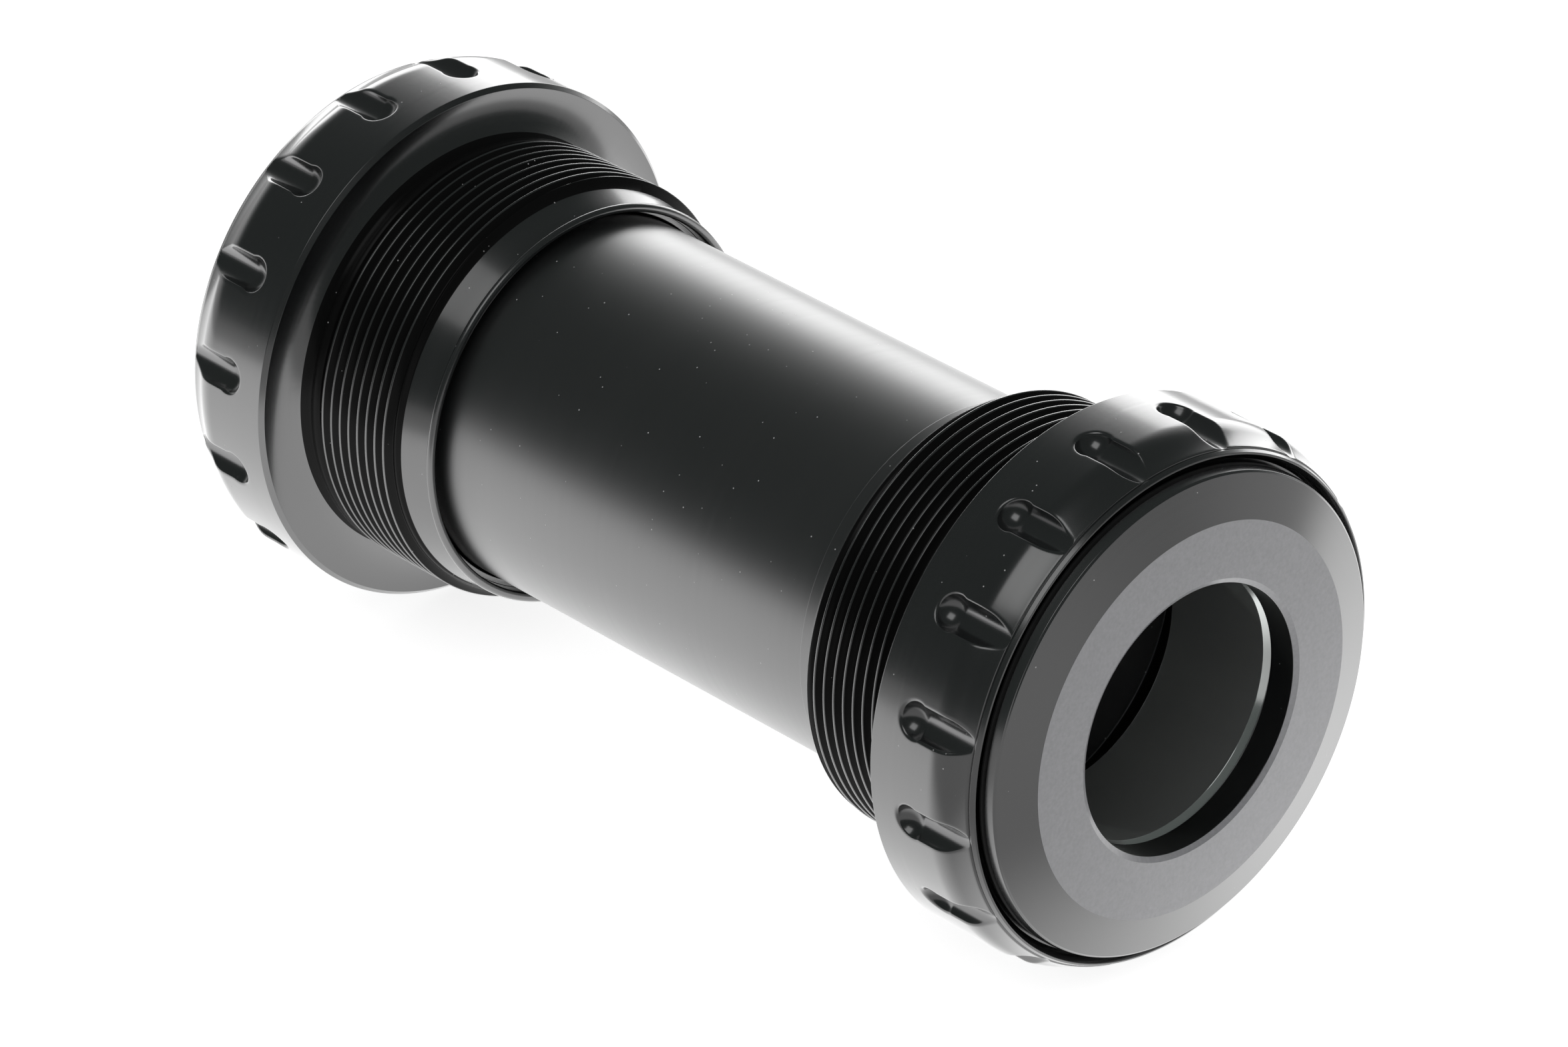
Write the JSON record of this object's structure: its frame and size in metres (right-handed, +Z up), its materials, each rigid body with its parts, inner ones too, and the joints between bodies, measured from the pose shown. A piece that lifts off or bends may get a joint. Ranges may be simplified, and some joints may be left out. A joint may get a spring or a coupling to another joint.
{
  "type": "bottom bracket",
  "caption": "External-bearing bottom bracket for a threaded frame shell: notched threaded cups with sealed ball bearings and turning dust covers, joined by a thin sleeve for a stepped spindle.",
  "frame": {"origin": "on the spindle axis, midway between the two faces of the frame shell", "axes": "+X along the spindle axis towards the drive side, +Z up"},
  "size_m": [0.094, 0.044, 0.044],
  "materials": {
    "cup_anodised": "bright black anodised",
    "sleeve_anodised": "blasted satin black anodised",
    "cover_anodised": "turned satin black anodised",
    "bearing_steel": "ground and polished",
    "ball_ceramic": "polished dark",
    "cage_nylon": "natural moulded",
    "seal_rubber": "matt black"
  },
  "bodies": {
    "cups_and_sleeve": {"center_sleeve": "sleeve_anodised", "sleeve_o_ring_non_drive": "seal_rubber", "sleeve_o_ring_drive": "seal_rubber", "non_drive_cup": "cup_anodised", "non_drive_outer_race": "bearing_steel", "non_drive_front_seal": "seal_rubber", "non_drive_back_seal": "seal_rubber", "drive_cup": "cup_anodised", "drive_outer_race": "bearing_steel", "drive_front_seal": "seal_rubber", "drive_back_seal": "seal_rubber"},
    "non_drive_rotor": {"non_drive_inner_race": "bearing_steel", "non_drive_dust_cover": "cover_anodised", "non_drive_cover_lip_seal": "seal_rubber"},
    "non_drive_ball_set": {"non_drive_balls": "ball_ceramic", "non_drive_cage": "cage_nylon"},
    "drive_rotor": {"drive_inner_race": "bearing_steel", "drive_dust_cover": "cover_anodised", "drive_cover_lip_seal": "seal_rubber"},
    "drive_ball_set": {"drive_balls": "ball_ceramic", "drive_cage": "cage_nylon"}
  },
  "joints": [
    {"name": "non_drive_bearing_spin", "type": "hinge", "parent": "cups_and_sleeve", "child": "non_drive_rotor", "pos_m": [-0.04, 0, 0], "axis": [1, 0, 0], "continuous": true},
    {"name": "non_drive_ball_orbit", "type": "hinge", "parent": "cups_and_sleeve", "child": "non_drive_ball_set", "pos_m": [-0.04, 0, 0], "axis": [1, 0, 0], "continuous": true},
    {"name": "drive_bearing_spin", "type": "hinge", "parent": "cups_and_sleeve", "child": "drive_rotor", "pos_m": [0.0405, 0, 0], "axis": [1, 0, 0], "continuous": true},
    {"name": "drive_ball_orbit", "type": "hinge", "parent": "cups_and_sleeve", "child": "drive_ball_set", "pos_m": [0.0405, 0, 0], "axis": [1, 0, 0], "continuous": true}
  ],
  "couplings": [
    {"joint": "non_drive_ball_orbit", "follows": "non_drive_bearing_spin", "ratio": 0.4237},
    {"joint": "drive_ball_orbit", "follows": "drive_bearing_spin", "ratio": 0.4361}
  ]
}
